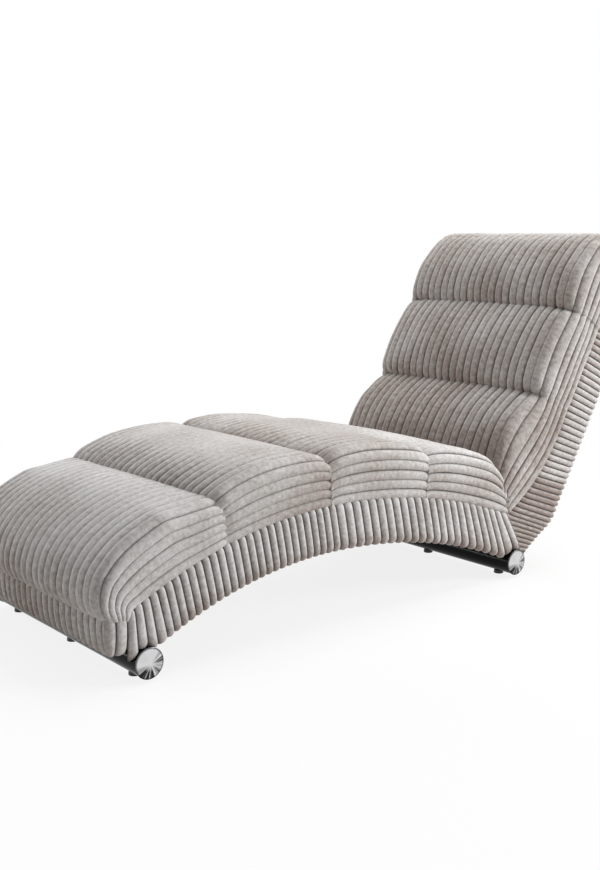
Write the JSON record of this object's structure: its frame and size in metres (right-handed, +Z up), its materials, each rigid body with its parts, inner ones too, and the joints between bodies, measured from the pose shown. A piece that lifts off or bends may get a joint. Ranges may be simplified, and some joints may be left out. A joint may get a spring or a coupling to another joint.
{
  "type": "chaise lounge",
  "caption": "Armless S-shaped chaise lounge with channel-quilted wide-wale corduroy over an arched seat and raked back, on round cross tubes with chrome end caps.",
  "frame": {"origin": "on the floor, under the middle of the chaise's box", "axes": "+Z up, +Y from the foot end to the head end, X across the chaise"},
  "size_m": [0.61, 1.6905, 0.8434],
  "materials": {
    "corduroy": "wide-wale velvet corduroy, light warm grey, with a nap sheen",
    "underside_cloth": "thin black non-woven cloth",
    "frame_wood": "raw plywood and softwood boards",
    "elastic_webbing": "woven elastic straps",
    "upholstery_foam": "open-cell upholstery foam",
    "tube_black": "gloss black steel tube",
    "cap_chrome": "polished chrome",
    "glide_plastic": "moulded black plastic",
    "bolt_steel": "zinc-plated steel"
  },
  "bodies": {
    "root": {"foot_pad": "corduroy", "calf_pad": "corduroy", "thigh_pad": "corduroy", "seat_pad": "corduroy", "lumbar_pad": "corduroy", "shoulder_pad": "corduroy", "head_pad": "corduroy", "left_seat_border": "corduroy", "right_seat_border": "corduroy", "left_back_border": "corduroy", "right_back_border": "corduroy", "foot_border": "corduroy", "back_panel": "corduroy", "underside_cover": "underside_cloth", "left_side_frame": "frame_wood", "right_side_frame": "frame_wood", "foot_cross_rail": "frame_wood", "front_base_rail": "frame_wood", "calf_cross_rail": "frame_wood", "thigh_cross_rail": "frame_wood", "rear_base_rail": "frame_wood", "lumbar_cross_rail": "frame_wood", "shoulder_cross_rail": "frame_wood", "head_cross_rail": "frame_wood", "corner_blocks": "frame_wood", "seat_webbing": "elastic_webbing", "back_webbing": "elastic_webbing", "seat_foam": "upholstery_foam", "back_foam": "upholstery_foam", "front_foot_tube": "tube_black", "rear_foot_tube": "tube_black", "front_end_caps": "cap_chrome", "rear_end_caps": "cap_chrome", "front_glides": "glide_plastic", "rear_glides": "glide_plastic", "foot_bolts": "bolt_steel"}
  },
  "joints": []
}
